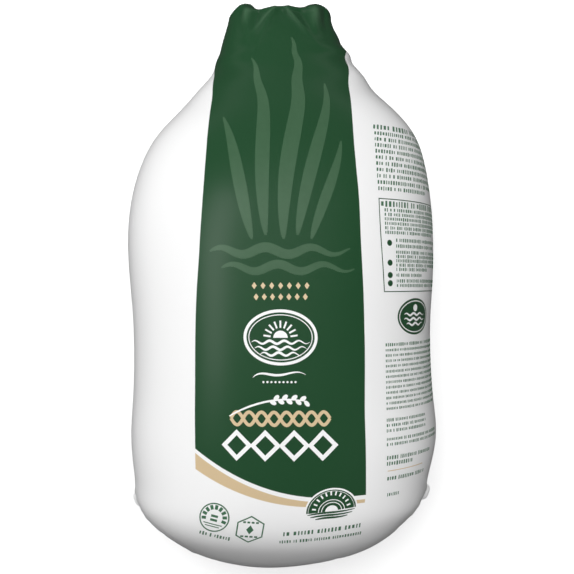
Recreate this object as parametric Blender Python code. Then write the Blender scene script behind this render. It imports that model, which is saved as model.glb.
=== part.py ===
"""A whole duck shut in a printed shrink bag, lying on its back with the printed side up.

The shut pack is one solid: film drawn tight over the bird, gathered at the far end into a
puckered crown and sealed round the near end, where the seal stops in two small ears.

Frame: metres, +Z out of the printed side, +Y towards the gathered end, +X to the reader's
right, and the origin on the table under the middle of the pack.
"""

import math

import bmesh
import bpy
import numpy as np

MM = 0.001

# The pack seen from its printed side. Each station is the distance from the sealed tip,
# then the left and the right edge, in millimetres.
OUTLINE = (
    (0.0, -6.2, -6.2),
    (1.2, -19.0, 8.6),
    (3.5, -30.6, 19.0),
    (10.5, -53.4, 48.2),
    (17.5, -64.6, 61.7),
    (24.6, -73.3, 69.9),
    (31.6, -79.4, 76.5),
    (38.6, -83.0, 82.0),
    (50.0, -84.0, 84.9),
    (60.0, -85.1, 87.2),
    (78.0, -86.1, 89.9),
    (95.0, -85.1, 88.4),
    (120.0, -84.4, 86.6),
    (145.0, -85.2, 86.7),
    (166.0, -87.0, 88.0),
    (190.0, -88.0, 88.1),
    (207.0, -86.5, 87.1),
    (221.0, -83.5, 85.3),
    (235.0, -78.4, 82.5),
    (249.0, -69.7, 76.7),
    (263.0, -56.6, 64.6),
    (274.0, -47.1, 53.4),
    (280.0, -41.8, 49.6),
    (285.0, -38.9, 45.6),
    (290.0, -37.7, 41.8),
    (294.0, -36.0, 40.7),
    (299.0, -34.6, 36.4),
    (304.0, -33.3, 34.2),
    (309.5, -31.7, 31.4),
    (315.0, -30.3, 29.6),
)

# The pack seen from its side: the same distance, then how far the printed front rises above
# the widest line and how far the back drops below it.
DEPTHS = (
    (0.0, 0.0, 0.0),
    (1.2, 12.4, 9.2),
    (3.5, 21.6, 16.0),
    (10.5, 35.8, 26.6),
    (17.5, 45.4, 33.6),
    (24.6, 53.2, 38.9),
    (38.6, 61.2, 45.0),
    (60.0, 64.3, 48.0),
    (95.0, 66.0, 49.0),
    (140.0, 66.5, 49.0),
    (180.0, 65.0, 49.0),
    (215.0, 59.5, 47.5),
    (240.0, 50.5, 42.5),
    (260.0, 41.0, 36.0),
    (277.0, 32.5, 30.0),
    (290.0, 27.0, 25.5),
    (302.0, 23.0, 22.0),
    (315.0, 18.5, 17.5),
)

WIDEST_LINE_HEIGHT = 46.0  # above the table, before the back is pressed flat
FRONT_SQUARENESS = 0.05  # 0 is a plain oval section
BACK_SQUARENESS = 0.19
TABLE_BLEND = 1.5  # over which the pressed back bends up from the table

# The end seal: a low ridge round the tip on the widest line, ending in an ear at each side.
SEAL_REACH = 1.2
SEAL_HALF_THICKNESS = 1.2
LEFT_EAR, RIGHT_EAR = (36.0, 4.6, 3.5), (40.7, 4.6, 4.0)  # distance, half length and reach

# The gathered end: three lumps (place across, height, half width) on a rim that falls a little
# towards the front and the back.
CROWN_START = 315.0
CROWN_BASE = 317.1
CROWN_LUMPS = ((-24.4, 5.1, 5.1), (3.2, 2.0, 14.0), (26.6, 5.4, 8.8))
RIM_FALL, RIM_FALL_DEPTH = 0.4, 19.0
RIM_SHARE = 0.74  # of the crown's first section, where its rim is highest
RIM_ROUNDING = 0.7  # 1 is a plain quarter turn, and less is squarer

# From the rim the film goes down into a puckered dimple, and stands up again in its middle as a
# short gathered tail. Each row is a share of the crown's first section and a height by the rim.
DIMPLE_AND_TAIL = (
    (0.74, 0.0),
    (0.64, -1.2),
    (0.52, -3.6),
    (0.40, -6.4),
    (0.28, -8.6),
    (0.18, -8.8),
    (0.16, -6.0),
    (0.20, -3.8),
    (0.19, -2.6),
    (0.09, -2.4),
)
PUCKERS = 11
PUCKER_HEIGHT = 0.9
TAIL_LOBES = 0.12  # how far the tail's folds stand out, as a share of its width

# Folds of the gather: arc length from the front's middle, drift for each millimetre down the
# neck, height (below 0 for a valley), half width, and how far down the neck it reaches.
CROWN_FOLDS = (
    (-66.0, 0.00, -1.5, 3.4, 14.0),
    (-58.0, -0.10, 1.0, 3.0, 12.0),
    (-48.0, -0.20, -1.4, 3.0, 12.0),
    (-18.5, -0.20, 1.0, 3.2, 16.0),
    (-13.8, -0.25, -1.7, 2.4, 11.0),
    (-5.5, -0.46, 0.9, 2.4, 14.0),
    (1.2, 0.10, -0.9, 2.2, 6.0),
    (6.0, 0.65, 0.8, 2.4, 12.0),
    (13.5, 0.45, -1.3, 3.0, 9.0),
    (22.5, -0.35, 1.2, 3.0, 13.0),
    (27.5, -0.10, -1.0, 2.6, 10.0),
    (50.0, 0.20, -1.5, 3.2, 13.0),
    (60.0, 0.10, 1.1, 3.0, 15.0),
)
FOLD_FADE_INSIDE = 9.0

# Rows of points, and cells round each row from the widest line to the middle of each side. They
# crowd at the widest line to carry the seal, and are even at the crown to carry its folds.
FRONT_CELLS, BACK_CELLS = 18, 14
BODY_CROWDING, CROWN_CROWDING = 1.9, 1.0
TIP_CAP, TIP_ROWS, FIRST_TIP_SHARE = 30.0, 9, 0.12
EARS_END, EAR_ROWS = 50.0, 13
NECK_FOOT, BODY_ROWS, NECK_ROWS = 246.0, 18, 19
RIM_ROWS, INNER_ROWS = 5, 11
ARC_STEPS = 400

FILM_COLOUR = (0.86, 0.86, 0.86, 1.0)
FILM_ROUGHNESS = 0.35


def clear_scene():
    for thing in list(bpy.data.objects):
        bpy.data.objects.remove(thing)


def smooth_curve(stations, column):
    """A natural cubic spline through one column of the stations. It runs on the square root of
    the distance, because the sealed end is round and its width grows as that root."""
    roots = np.sqrt([station[0] for station in stations])
    values = np.array([station[column] for station in stations])
    span = np.diff(roots)
    rise = np.diff(values) / span
    last = len(roots) - 1
    matrix, turns = np.eye(last + 1), np.zeros(last + 1)
    for k in range(1, last):
        matrix[k, k - 1 : k + 2] = span[k - 1], 2 * (span[k - 1] + span[k]), span[k]
        turns[k] = 6 * (rise[k] - rise[k - 1])
    bend = np.linalg.solve(matrix, turns)

    def value(distance):
        root = math.sqrt(distance)
        k = min(max(int(np.searchsorted(roots, root)) - 1, 0), last - 1)
        to_next, past = roots[k + 1] - root, root - roots[k]
        bowed = (bend[k] * to_next**3 + bend[k + 1] * past**3) / (6 * span[k])
        low = (values[k] / span[k] - bend[k] * span[k] / 6) * to_next
        high = (values[k + 1] / span[k] - bend[k + 1] * span[k] / 6) * past
        return bowed + low + high

    return value


left_edge, right_edge = smooth_curve(OUTLINE, 1), smooth_curve(OUTLINE, 2)
front_rise, back_drop = smooth_curve(DEPTHS, 1), smooth_curve(DEPTHS, 2)


def eased(value, start, end):
    """0 before start, 1 after end, and smooth between."""
    t = min(max((value - start) / (end - start), 0.0), 1.0)
    return t * t * (3 - 2 * t)


def quarter(width, depth, squareness, shares):
    """A quarter of a slightly squared oval from its side to its middle: x, z and length."""
    turn = np.linspace(0.0, math.pi / 2, ARC_STEPS)
    x = width * np.cos(turn) * (1 + squareness * np.sin(turn) ** 2)
    z = depth * np.sin(turn) * (1 + squareness * np.cos(turn) ** 2)
    run = np.concatenate(([0.0], np.cumsum(np.hypot(np.diff(x), np.diff(z)))))
    wanted = shares * run[-1]
    return np.interp(wanted, run, x), np.interp(wanted, run, z), wanted


def section(distance):
    """One row: x and z about the widest line, and the arc length from the front's middle. It
    runs from the back's middle over the left side, the front and the right side."""
    centre = (left_edge(distance) + right_edge(distance)) / 2
    width = (right_edge(distance) - left_edge(distance)) / 2
    even = eased(distance, NECK_FOOT, CROWN_START)
    crowding = BODY_CROWDING + (CROWN_CROWDING - BODY_CROWDING) * even
    front_shares = (np.arange(FRONT_CELLS + 1) / FRONT_CELLS) ** crowding
    back_shares = (np.arange(BACK_CELLS + 1) / BACK_CELLS) ** crowding
    fx, fz, flen = quarter(width, front_rise(distance), FRONT_SQUARENESS, front_shares)
    bx, bz, blen = quarter(width, back_drop(distance), BACK_SQUARENESS, back_shares)
    x = np.concatenate((-bx[:0:-1], -fx[:-1], fx[:0:-1], bx[:-1]))
    z = np.concatenate((-bz[:0:-1], fz[:-1], fz[:0:-1], -bz[:-1]))
    to_front, to_back = flen[-1] - flen, flen[-1] + blen
    arc = np.concatenate((-to_back[:0:-1], -to_front[:-1], to_front[:0:-1], to_back[:-1]))
    return centre + x, z, arc


def outward(distance, edge, side):
    """The direction in plan that points out of one edge of the outline."""
    step = 0.05
    low, high = max(distance - step, 0.0), distance + step
    shift = edge(high) - edge(low)
    return np.array((side * (high - low), -side * shift)) / math.hypot(high - low, shift)


def seal_reach(distance, ear):
    """How far the seal stands out of the widest line: a low ridge that ends in an ear."""
    place, half_length, reach = ear
    nub = reach * math.exp(-(((distance - place) / half_length) ** 4))
    return max(nub, SEAL_REACH if distance < place else 0.0)


def body_row(distance):
    """The points of one row, with those by the widest line drawn out into the seal."""
    x, z, arc = section(distance)
    left = outward(distance, left_edge, -1) * seal_reach(distance, LEFT_EAR)
    right = outward(distance, right_edge, 1) * seal_reach(distance, RIGHT_EAR)
    near = np.exp(-((z / SEAL_HALF_THICKNESS) ** 2))
    on_left = x < x.mean()
    sideways = near * np.where(on_left, left[0], right[0])
    lengthways = near * np.where(on_left, left[1], right[1])
    return np.column_stack((x + sideways, distance + lengthways, z)), arc


def rim_height(x, z):
    """The height of the crown's rim across its width."""
    lumps = sum(rise * np.exp(-(((x - at) / half) ** 2)) for at, rise, half in CROWN_LUMPS)
    return CROWN_BASE + lumps - RIM_FALL * (z / RIM_FALL_DEPTH) ** 2


def eased_between(values, knot):
    """A smooth course through a list of values, at a place counted in its steps."""
    spread = 0.45
    weight = np.exp(-(((np.arange(len(values)) - knot) / spread) ** 2) / 2)
    return float(weight @ np.array(values) / weight.sum())


def body_distances():
    tip = [TIP_CAP * (1 - math.cos(math.pi / 2 * k / TIP_ROWS)) for k in range(1, TIP_ROWS)]
    ears = np.linspace(TIP_CAP, EARS_END, EAR_ROWS, endpoint=False)
    body = np.linspace(EARS_END, NECK_FOOT, BODY_ROWS, endpoint=False)
    neck = np.linspace(NECK_FOOT, CROWN_START, NECK_ROWS)
    return (tip[0] * FIRST_TIP_SHARE, *tip, *ears, *body, *neck)


def crown_rows(foot, arc):
    """Rows over the crown's rim, down into its dimple and up round the tail."""
    rise = rim_height(foot[:, 0], foot[:, 2]) - CROWN_START
    for k in range(1, RIM_ROWS + 1):
        turn = math.pi / 2 * k / RIM_ROWS
        share = RIM_SHARE + (1 - RIM_SHARE) * max(math.cos(turn), 0.0) ** RIM_ROUNDING
        points = foot * (share, 1.0, share)
        points[:, 1] = CROWN_START + rise * math.sin(turn) ** RIM_ROUNDING
        yield points
    puckers = np.cos(PUCKERS * math.pi * arc / arc[0])
    for knot in np.linspace(0, len(DIMPLE_AND_TAIL) - 1, INNER_ROWS + 1)[1:]:
        share = eased_between([row[0] for row in DIMPLE_AND_TAIL], knot)
        drop = eased_between([row[1] for row in DIMPLE_AND_TAIL], knot)
        inside = 1 - share / RIM_SHARE
        lobes = share * (1 + TAIL_LOBES * inside**2 * puckers)
        points = foot * np.column_stack((lobes, np.ones_like(lobes), lobes))
        rim = CROWN_START + rise - CROWN_BASE
        points[:, 1] = CROWN_BASE + (1 - inside) * rim + drop + PUCKER_HEIGHT * inside * puckers
        yield points


def outward_normals(grid):
    """Directions out of the film at each point of the rows."""
    ring = np.concatenate((grid[:, -1:], grid, grid[:, :1]), axis=1)
    normal = np.cross(ring[:, 2:] - ring[:, :-2], np.gradient(grid, axis=0))
    return normal / np.maximum(np.linalg.norm(normal, axis=2, keepdims=True), 1e-9)


def fold_relief(arc, along):
    """The height of the gather's folds over the smooth film."""
    down = np.maximum(CROWN_START - along, 0.0)
    inside = np.maximum(along - CROWN_START, 0.0)
    relief = np.zeros_like(arc)
    for place, drift, height, half_width, reach in CROWN_FOLDS:
        across = (arc - place - drift * down) / half_width
        fade = np.exp(-((down / reach) ** 2) - (inside / FOLD_FADE_INSIDE) ** 2)
        relief += height * np.exp(-(across**2)) * fade
    return relief


def settled(height):
    """Heights above the table. What would sink below it is pressed flat, with a soft edge."""
    bend = (height + TABLE_BLEND) ** 2 / (4 * TABLE_BLEND)
    return np.where(height < -TABLE_BLEND, 0.0, np.where(height < TABLE_BLEND, bend, height))


def pack_rows():
    """All rows of points in millimetres about the origin, then the tip and the tail's end."""
    distances = body_distances()
    rows = [body_row(distance) for distance in distances]
    foot, arc = rows[-1]
    inner = list(crown_rows(foot, arc))
    grid = np.array([points for points, _ in rows] + inner)
    arcs = np.array([row_arc for _, row_arc in rows] + [arc] * len(inner))
    steps = np.linalg.norm(np.diff(grid[len(rows) - 1 :], axis=0), axis=2).mean(axis=1)
    along = np.concatenate((distances, CROWN_START + np.cumsum(steps)))
    grid += outward_normals(grid) * fold_relief(arcs, along[:, None])[:, :, None]
    ends = np.array(((OUTLINE[0][1], -SEAL_REACH, 0.0), grid[-1].mean(axis=0)))
    grid[:, :, 2] = settled(grid[:, :, 2] + WIDEST_LINE_HEIGHT)
    ends[:, 2] += WIDEST_LINE_HEIGHT
    low, high = grid.min(axis=(0, 1)), grid.max(axis=(0, 1))
    low[1] = min(low[1], ends[0, 1])
    middle = (low + high) / 2 * (1, 1, 0)
    return grid - middle, ends - middle


def film_material():
    film = bpy.data.materials.new("white_film")
    film.use_nodes = True
    shader = film.node_tree.nodes["Principled BSDF"]
    shader.inputs["Base Color"].default_value = FILM_COLOUR
    shader.inputs["Roughness"].default_value = FILM_ROUGHNESS
    film.diffuse_color = FILM_COLOUR
    return film


def skin(name, grid, ends):
    """Joins each row to the next, and closes both ends on a point."""
    mesh = bmesh.new()
    rows = [[mesh.verts.new(point * MM) for point in row] for row in grid]
    tip, tail = (mesh.verts.new(point * MM) for point in ends)
    around = range(grid.shape[1])
    for low, high in zip(rows[:-1], rows[1:], strict=True):
        for k in around:
            mesh.faces.new((low[k - 1], low[k], high[k], high[k - 1]))
    for k in around:
        mesh.faces.new((tip, rows[0][k], rows[0][k - 1]))
        mesh.faces.new((tail, rows[-1][k - 1], rows[-1][k]))
    bmesh.ops.recalc_face_normals(mesh, faces=mesh.faces)
    data = bpy.data.meshes.new(name)
    mesh.to_mesh(data)
    mesh.free()
    data.shade_smooth()
    return data


def build_pack():
    grid, ends = pack_rows()
    data = skin("duck_pack", grid, ends)
    data.materials.append(film_material())
    pack = bpy.data.objects.new("duck_pack", data)
    bpy.context.scene.collection.objects.link(pack)
    return pack


clear_scene()
build_pack()
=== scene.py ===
import math

import bmesh
import bpy
import numpy as np
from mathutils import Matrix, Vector


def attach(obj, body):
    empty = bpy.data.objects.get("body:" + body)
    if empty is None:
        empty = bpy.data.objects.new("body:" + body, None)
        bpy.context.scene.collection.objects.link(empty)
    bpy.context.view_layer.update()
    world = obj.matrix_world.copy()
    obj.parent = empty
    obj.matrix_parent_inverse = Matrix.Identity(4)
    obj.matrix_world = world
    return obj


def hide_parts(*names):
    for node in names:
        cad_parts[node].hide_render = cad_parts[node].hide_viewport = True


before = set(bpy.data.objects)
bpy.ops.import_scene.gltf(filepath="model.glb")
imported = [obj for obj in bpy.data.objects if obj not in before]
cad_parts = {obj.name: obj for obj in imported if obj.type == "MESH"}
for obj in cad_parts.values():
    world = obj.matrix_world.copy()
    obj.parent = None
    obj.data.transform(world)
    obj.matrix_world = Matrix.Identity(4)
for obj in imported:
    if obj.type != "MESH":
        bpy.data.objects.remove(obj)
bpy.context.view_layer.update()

# The film
# A shrink bag of opaque white film, drawn tight over the bird by heat. One end is gathered into a
# puckered crown, and the other is closed by a heat seal, a low ridge that stops in an ear at each
# side. It is modelled row by row round the pack, on the same sizes as its solid, in millimetres.
MM = 0.001

# Distance from the sealed tip, then the left and the right edge as seen from the printed side.
OUTLINE = (
    (0.0, -6.2, -6.2),
    (1.2, -19.0, 8.6),
    (3.5, -30.6, 19.0),
    (10.5, -53.4, 48.2),
    (17.5, -64.6, 61.7),
    (24.6, -73.3, 69.9),
    (31.6, -79.4, 76.5),
    (38.6, -83.0, 82.0),
    (50.0, -84.0, 84.9),
    (60.0, -85.1, 87.2),
    (78.0, -86.1, 89.9),
    (95.0, -85.1, 88.4),
    (120.0, -84.4, 86.6),
    (145.0, -85.2, 86.7),
    (166.0, -87.0, 88.0),
    (190.0, -88.0, 88.1),
    (207.0, -86.5, 87.1),
    (221.0, -83.5, 85.3),
    (235.0, -78.4, 82.5),
    (249.0, -69.7, 76.7),
    (263.0, -56.6, 64.6),
    (274.0, -47.1, 53.4),
    (280.0, -41.8, 49.6),
    (285.0, -38.9, 45.6),
    (290.0, -37.7, 41.8),
    (294.0, -36.0, 40.7),
    (299.0, -34.6, 36.4),
    (304.0, -33.3, 34.2),
    (309.5, -31.7, 31.4),
    (315.0, -30.3, 29.6),
)
# The same distance, then how far the front rises above the widest line and the back drops below it.
DEPTHS = (
    (0.0, 0.0, 0.0),
    (1.2, 12.4, 9.2),
    (3.5, 21.6, 16.0),
    (10.5, 35.8, 26.6),
    (17.5, 45.4, 33.6),
    (24.6, 53.2, 38.9),
    (38.6, 61.2, 45.0),
    (60.0, 64.3, 48.0),
    (95.0, 66.0, 49.0),
    (140.0, 66.5, 49.0),
    (180.0, 65.0, 49.0),
    (215.0, 59.5, 47.5),
    (240.0, 50.5, 42.5),
    (260.0, 41.0, 36.0),
    (277.0, 32.5, 30.0),
    (290.0, 27.0, 25.5),
    (302.0, 23.0, 22.0),
    (315.0, 18.5, 17.5),
)
WIDEST_LINE_HEIGHT = 46.0
FRONT_SQUARENESS, BACK_SQUARENESS = 0.05, 0.19
TABLE_BLEND = 1.5

# The seal, then each ear's distance, half length and reach.
SEAL_REACH, SEAL_HALF_THICKNESS = 1.2, 1.1
LEFT_EAR, RIGHT_EAR = (36.0, 4.6, 3.5), (40.7, 4.6, 4.0)

# The crown: lumps (place across, height, half width) on a rim that falls a little to the front and
# back, then the way that the film takes down into the puckered dimple and up the gathered tail, as
# shares of the crown's first section with the height above or below the rim.
CROWN_START, CROWN_BASE = 315.0, 317.1
CROWN_LUMPS = ((-24.4, 5.1, 5.1), (3.2, 2.0, 14.0), (26.6, 5.4, 8.8))
RIM_FALL, RIM_FALL_DEPTH = 0.4, 19.0
RIM_SHARE, RIM_ROUNDING = 0.74, 0.7
DIMPLE_AND_TAIL = (
    (0.74, 0.0),
    (0.64, -1.2),
    (0.52, -3.6),
    (0.40, -6.4),
    (0.28, -8.6),
    (0.18, -8.8),
    (0.16, -6.0),
    (0.20, -3.8),
    (0.19, -2.6),
    (0.09, -2.4),
)
PUCKERS, PUCKER_HEIGHT, TAIL_LOBES = 22, 0.7, 0.14

# Folds of the gather: arc length at the crown's foot, drift for each millimetre down the neck,
# height (below 0 for a valley), half width and how far down the neck it reaches.
CROWN_FOLDS = (
    (-66.0, 0.00, -1.5, 3.4, 14.0),
    (-58.0, -0.10, 1.0, 3.0, 12.0),
    (-48.0, -0.20, -1.4, 3.0, 12.0),
    (-19.0, -0.05, 1.6, 2.8, 12.0),
    (-12.4, -0.25, -1.3, 2.6, 10.0),
    (-3.4, -0.52, 1.2, 2.2, 16.0),
    (1.2, 0.10, -0.6, 2.2, 6.0),
    (4.9, 0.74, 1.1, 2.2, 13.0),
    (12.4, 0.45, -1.2, 2.8, 9.0),
    (20.6, -0.10, 1.8, 3.4, 11.0),
    (28.5, -0.10, -1.0, 2.8, 10.0),
    (50.0, 0.20, -0.9, 3.2, 9.0),
    (60.0, 0.10, 0.8, 3.0, 12.0),
)
FOLD_FADE_INSIDE = 4.5

FRONT_CELLS, BACK_CELLS = 72, 56  # from the widest line to the middle
CROWDING = 1.35  # above 1 the cells crowd at the widest line, for the seal
ARC_STEPS = 1500
TIP_CAP, TIP_ROWS, FIRST_TIP_SHARE = 30.0, 36, 0.11
EARS_END, EAR_STEP = 52.0, 0.6
NECK_FOOT, BODY_STEP, NECK_STEP = 246.0, 2.2, 1.0
RIM_ROWS, INNER_ROWS = 14, 44


def smooth_curve(stations, column):
    """A smooth curve through one column of the stations. It runs on the square root of the
    distance, because the sealed end is round and its width grows as that root."""
    roots = np.sqrt([station[0] for station in stations])
    values = np.array([station[column] for station in stations])
    span = np.diff(roots)
    rise = np.diff(values) / span
    last = len(roots) - 1
    matrix, turns = np.eye(last + 1), np.zeros(last + 1)
    for k in range(1, last):
        matrix[k, k - 1 : k + 2] = span[k - 1], 2 * (span[k - 1] + span[k]), span[k]
        turns[k] = 6 * (rise[k] - rise[k - 1])
    bend = np.linalg.solve(matrix, turns)

    def value(distance):
        root = math.sqrt(distance)
        k = min(max(int(np.searchsorted(roots, root)) - 1, 0), last - 1)
        to_next, past = roots[k + 1] - root, root - roots[k]
        bowed = (bend[k] * to_next**3 + bend[k + 1] * past**3) / (6 * span[k])
        low = (values[k] / span[k] - bend[k] * span[k] / 6) * to_next
        high = (values[k + 1] / span[k] - bend[k + 1] * span[k] / 6) * past
        return bowed + low + high

    return value


left_edge, right_edge = smooth_curve(OUTLINE, 1), smooth_curve(OUTLINE, 2)
front_rise, back_drop = smooth_curve(DEPTHS, 1), smooth_curve(DEPTHS, 2)


def quarter(width, depth, squareness, cells):
    """A quarter of a slightly squared oval from its side to its middle: x, z and length."""
    turn = np.linspace(0.0, math.pi / 2, ARC_STEPS)
    x = width * np.cos(turn) * (1 + squareness * np.sin(turn) ** 2)
    z = depth * np.sin(turn) * (1 + squareness * np.cos(turn) ** 2)
    run = np.concatenate(([0.0], np.cumsum(np.hypot(np.diff(x), np.diff(z)))))
    wanted = (np.arange(cells + 1) / cells) ** CROWDING * run[-1]
    return np.interp(wanted, run, x), np.interp(wanted, run, z), wanted


def section(distance):
    """One row: x and z about the widest line, and the arc length from the front's middle. It runs
    from the back's middle over the left side, the front and the right side to the back again."""
    centre = (left_edge(distance) + right_edge(distance)) / 2
    width = (right_edge(distance) - left_edge(distance)) / 2
    fx, fz, flen = quarter(width, front_rise(distance), FRONT_SQUARENESS, FRONT_CELLS)
    bx, bz, blen = quarter(width, back_drop(distance), BACK_SQUARENESS, BACK_CELLS)
    x = np.concatenate((-bx[:0:-1], -fx[:-1], fx[:0:-1], bx))
    z = np.concatenate((-bz[:0:-1], fz[:-1], fz[:0:-1], -bz))
    to_front, to_back = flen[-1] - flen, flen[-1] + blen
    arc = np.concatenate((-to_back[:0:-1], -to_front[:-1], to_front[:0:-1], to_back))
    return centre + x, z, arc


def outward(distance, edge, side):
    """The direction in plan that points out of one edge of the outline."""
    step = 0.05
    low, high = max(distance - step, 0.0), distance + step
    shift = edge(high) - edge(low)
    return np.array((side * (high - low), -side * shift)) / math.hypot(high - low, shift)


def seal_reach(distance, ear):
    """How far the seal stands out of the widest line: a low ridge that ends in an ear."""
    place, half_length, reach = ear
    nub = reach * math.exp(-(((distance - place) / half_length) ** 4))
    return max(nub, SEAL_REACH if distance < place else 0.0)


def body_row(distance):
    """The points of one row, with those by the widest line drawn out into the seal."""
    x, z, arc = section(distance)
    left = outward(distance, left_edge, -1) * seal_reach(distance, LEFT_EAR)
    right = outward(distance, right_edge, 1) * seal_reach(distance, RIGHT_EAR)
    near = np.exp(-((z / SEAL_HALF_THICKNESS) ** 2))
    on_left = x < x.mean()
    sideways = near * np.where(on_left, left[0], right[0])
    lengthways = near * np.where(on_left, left[1], right[1])
    return np.column_stack((x + sideways, distance + lengthways, z)), arc


def body_distances():
    tip = [TIP_CAP * (1 - math.cos(math.pi / 2 * k / TIP_ROWS)) for k in range(1, TIP_ROWS)]
    ears = np.arange(TIP_CAP, EARS_END, EAR_STEP)
    body = np.linspace(EARS_END, NECK_FOOT, round((NECK_FOOT - EARS_END) / BODY_STEP), False)
    neck = np.linspace(NECK_FOOT, CROWN_START, round((CROWN_START - NECK_FOOT) / NECK_STEP))
    return (tip[0] * FIRST_TIP_SHARE, *tip, *ears, *body, *neck)


def rim_height(x, z):
    lumps = sum(rise * np.exp(-(((x - at) / half) ** 2)) for at, rise, half in CROWN_LUMPS)
    return CROWN_BASE + lumps - RIM_FALL * (z / RIM_FALL_DEPTH) ** 2


def eased_between(values, knot):
    """A smooth course through a list of values, at a place counted in its steps."""
    spread = 0.45
    weight = np.exp(-(((np.arange(len(values)) - knot) / spread) ** 2) / 2)
    return float(weight @ np.array(values) / weight.sum())


def crown_rows(foot, arc):
    """Rows over the crown's rim, down into its dimple and up round the tail."""
    rise = rim_height(foot[:, 0], foot[:, 2]) - CROWN_START
    for k in range(1, RIM_ROWS + 1):
        turn = math.pi / 2 * k / RIM_ROWS
        share = RIM_SHARE + (1 - RIM_SHARE) * max(math.cos(turn), 0.0) ** RIM_ROUNDING
        points = foot * (share, 1.0, share)
        points[:, 1] = CROWN_START + rise * math.sin(turn) ** RIM_ROUNDING
        yield points
    puckers = np.cos(PUCKERS * math.pi * arc / arc[0])
    for knot in np.linspace(0, len(DIMPLE_AND_TAIL) - 1, INNER_ROWS + 1)[1:]:
        share = eased_between([row[0] for row in DIMPLE_AND_TAIL], knot)
        drop = eased_between([row[1] for row in DIMPLE_AND_TAIL], knot)
        inside = 1 - share / RIM_SHARE
        lobes = share * (1 + TAIL_LOBES * inside**2 * puckers)
        points = foot * np.column_stack((lobes, np.ones_like(lobes), lobes))
        rim = CROWN_START + rise - CROWN_BASE
        points[:, 1] = CROWN_BASE + (1 - inside) * rim + drop + PUCKER_HEIGHT * inside * puckers
        yield points


def outward_normals(grid):
    """Directions out of the film at each point of the rows, whose last point is their first."""
    ring = np.concatenate((grid[:, -2:-1], grid, grid[:, 1:2]), axis=1)
    normal = np.cross(ring[:, 2:] - ring[:, :-2], np.gradient(grid, axis=0))
    return normal / np.maximum(np.linalg.norm(normal, axis=2, keepdims=True), 1e-9)


def fold_relief(arc, along):
    """The height of the gather's folds over the smooth film."""
    down = np.maximum(CROWN_START - along, 0.0)
    inside = np.maximum(along - CROWN_START, 0.0)
    relief = np.zeros_like(arc)
    for place, drift, height, half_width, reach in CROWN_FOLDS:
        across = (arc - place - drift * down) / half_width
        fade = np.exp(-((down / reach) ** 2) - (inside / FOLD_FADE_INSIDE) ** 2)
        relief += height * np.exp(-(across**2)) * fade
    return relief


# Creases of the shrunk film by the ears and round the sealed end: arc length, distance, turn in
# degrees from straight along the pack, height (below 0 for a valley), half width and half length.
CREASES = (
    (-104.0, 44.0, 62.0, 0.5, 1.6, 9.0),
    (-100.0, 36.0, 80.0, -0.5, 1.8, 8.0),
    (-93.0, 28.0, 68.0, 0.4, 1.8, 9.0),
    (104.0, 46.0, -58.0, 0.6, 1.7, 10.0),
    (101.0, 39.0, -76.0, -0.6, 1.8, 9.0),
    (95.0, 31.0, -70.0, 0.5, 1.8, 9.0),
    (84.0, 22.0, -40.0, -0.4, 2.4, 9.0),
    (-76.0, 17.0, 35.0, -0.4, 2.4, 8.0),
    (-52.0, 9.0, 12.0, 0.4, 2.6, 6.0),
    (36.0, 7.0, -10.0, -0.4, 2.6, 6.0),
)


def crease_relief(arc, along):
    relief = np.zeros_like(arc)
    for place, distance, turn, height, half_width, half_length in CREASES:
        slant = math.radians(turn)
        right, up = arc - place, along - distance
        across = (right * math.cos(slant) - up * math.sin(slant)) / half_width
        length = (right * math.sin(slant) + up * math.cos(slant)) / half_length
        relief += height * np.exp(-(across**2) - length**2)
    return relief


def settled(height):
    """Heights above the table. What would sink below it is pressed flat, with a soft edge."""
    bend = (height + TABLE_BLEND) ** 2 / (4 * TABLE_BLEND)
    return np.where(height < -TABLE_BLEND, 0.0, np.where(height < TABLE_BLEND, bend, height))


distances = body_distances()
body = [body_row(distance) for distance in distances]
foot, foot_arc = body[-1]
crown = list(crown_rows(foot, foot_arc))
film_grid = np.array([points for points, _ in body] + crown)
film_arc = np.array([arc for _, arc in body] + [foot_arc] * len(crown))
crown_steps = np.linalg.norm(np.diff(film_grid[len(body) - 1 :], axis=0), axis=2).mean(axis=1)
film_along = np.concatenate((distances, CROWN_START + np.cumsum(crown_steps)))[:, None]
film_along = film_along * np.ones_like(film_arc)
relief = fold_relief(film_arc, film_along) + crease_relief(film_arc, film_along)
film_grid += outward_normals(film_grid) * relief[:, :, None]
film_grid[:, :, 2] = settled(film_grid[:, :, 2] + WIDEST_LINE_HEIGHT)
film_tip = np.array((OUTLINE[0][1], -SEAL_REACH, WIDEST_LINE_HEIGHT))
film_low, film_high = film_grid.min(axis=(0, 1)), film_grid.max(axis=(0, 1))
film_low[1] = min(film_low[1], film_tip[1])
pack_middle = (film_low + film_high) / 2 * (1, 1, 0)


def film_mesh(grid, tip, arc, along):
    """Joins the rows, closes both ends on a point, and lays the print's map on the faces: arc
    length across and distance along, both in metres."""
    row_count, around = grid.shape[0], grid.shape[1] - 1
    points = np.vstack((grid[:, :-1].reshape(-1, 3), tip, grid[-1].mean(axis=0)))
    last = len(points)
    top = row_count - 1
    faces, marks = [], []
    for k in range(around):
        after = (k + 1) % around
        for r in range(top):
            low, high = r * around, (r + 1) * around
            faces.append((low + k, low + after, high + after, high + k))
            marks.extend(((r, k), (r, k + 1), (r + 1, k + 1), (r + 1, k)))
        faces.append((last - 2, after, k))
        marks.extend(((0, k), (0, k + 1), (0, k)))
        faces.append((last - 1, top * around + k, top * around + after))
        marks.extend(((top, k), (top, k), (top, k + 1)))
    data = bpy.data.meshes.new("film")
    data.from_pydata((points * MM).tolist(), [], faces)
    row, column = np.array(marks).T
    layer = data.uv_layers.new(name="print")
    places = np.column_stack((arc[row, column], along[row, column])) * MM
    layer.data.foreach_set("uv", places.ravel())
    data.shade_smooth()
    return data


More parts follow.
